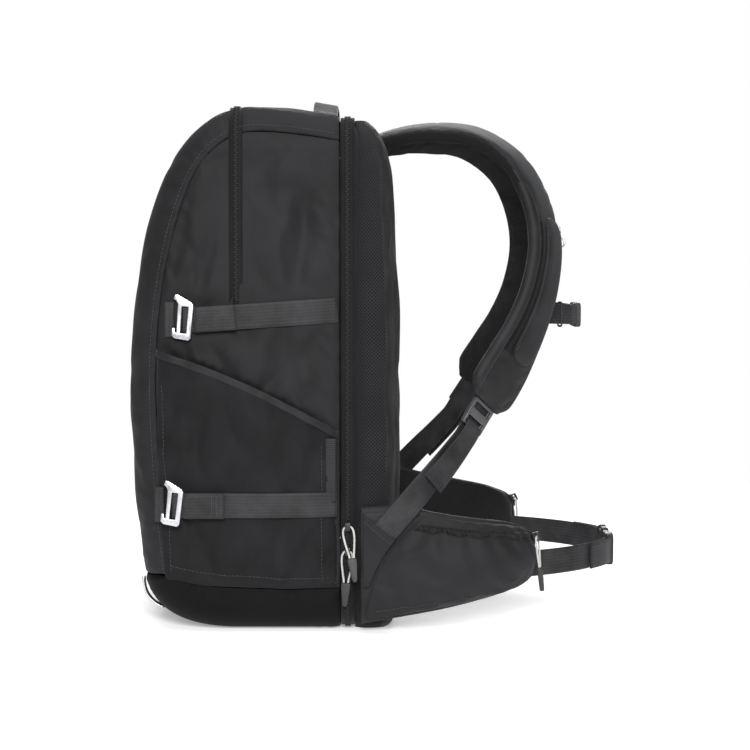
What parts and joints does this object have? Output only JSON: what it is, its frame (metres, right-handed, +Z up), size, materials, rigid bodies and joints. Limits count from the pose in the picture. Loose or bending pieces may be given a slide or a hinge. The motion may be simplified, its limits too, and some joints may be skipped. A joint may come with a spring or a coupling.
{
  "type": "camera trekking backpack",
  "caption": "Black padded backpack with a hollow zipped body, stretch side pockets, hooked side straps, curved shoulder straps and a pocketed hip belt; stands on its flat base",
  "frame": {"origin": "middle of the flat base that the bag stands on", "axes": "+X from the bag's front to the wearer, +Y to the wearer's left, +Z up"},
  "size_m": [0.491, 0.354, 0.5225],
  "materials": {
    "pack_cloth": "black coated nylon plain weave, matt",
    "base_cloth": "black heavy nylon, matt",
    "stretch_cloth": "black stretch woven, matt",
    "strap_cloth": "black nylon over foam, matt",
    "spacer_mesh": "black knitted spacer mesh",
    "webbing": "black woven nylon webbing",
    "zip_tape": "black zip tape with moulded teeth",
    "hook_metal": "satin anodised",
    "buckle_plastic": "moulded acetal, satin",
    "pull_cord": "braided pale grey cord",
    "grip_rubber": "moulded dark rubber"
  },
  "bodies": {
    "root": {"front_panel": "pack_cloth", "top_panel": "pack_cloth", "side_panel_right": "pack_cloth", "side_panel_left": "pack_cloth", "base_panel": "base_cloth", "back_panel": "spacer_mesh", "main_zip": "zip_tape", "top_zip": "zip_tape", "grab_handle": "webbing", "side_pocket_right": "stretch_cloth", "upper_strap_right": "webbing", "upper_hook_right": "hook_metal", "upper_loop_right": "webbing", "lower_strap_right": "webbing", "lower_hook_right": "hook_metal", "lower_loop_right": "webbing", "lash_hook_right": "hook_metal", "shoulder_pad_right": "strap_cloth", "strap_overlay_right": "strap_cloth", "load_web_right": "webbing", "ladder_lock_right": "buckle_plastic", "sternum_web_right": "webbing", "hip_wing_right": "spacer_mesh", "hip_pocket_right": "pack_cloth", "hip_zip_right": "zip_tape", "hip_gusset_right": "pack_cloth", "belt_web_right": "webbing", "hip_slider_right": "buckle_plastic", "hip_pull_cord_right": "pull_cord", "hip_pull_grip_right": "grip_rubber", "side_pocket_left": "stretch_cloth", "upper_strap_left": "webbing", "upper_hook_left": "hook_metal", "upper_loop_left": "webbing", "lower_strap_left": "webbing", "lower_hook_left": "hook_metal", "lower_loop_left": "webbing", "lash_hook_left": "hook_metal", "shoulder_pad_left": "strap_cloth", "strap_overlay_left": "strap_cloth", "load_web_left": "webbing", "ladder_lock_left": "buckle_plastic", "sternum_web_left": "webbing", "hip_wing_left": "spacer_mesh", "hip_pocket_left": "pack_cloth", "hip_zip_left": "zip_tape", "hip_gusset_left": "pack_cloth", "belt_web_left": "webbing", "hip_slider_left": "buckle_plastic", "hip_pull_cord_left": "pull_cord", "hip_pull_grip_left": "grip_rubber", "sternum_buckle": "buckle_plastic", "belt_buckle_plug": "buckle_plastic", "belt_buckle_socket": "buckle_plastic", "main_slider_upper": "buckle_plastic", "main_pull_cord_upper": "pull_cord", "main_pull_grip_upper": "grip_rubber", "main_slider_lower": "buckle_plastic", "main_pull_cord_lower": "pull_cord", "main_pull_grip_lower": "grip_rubber"}
  },
  "joints": []
}
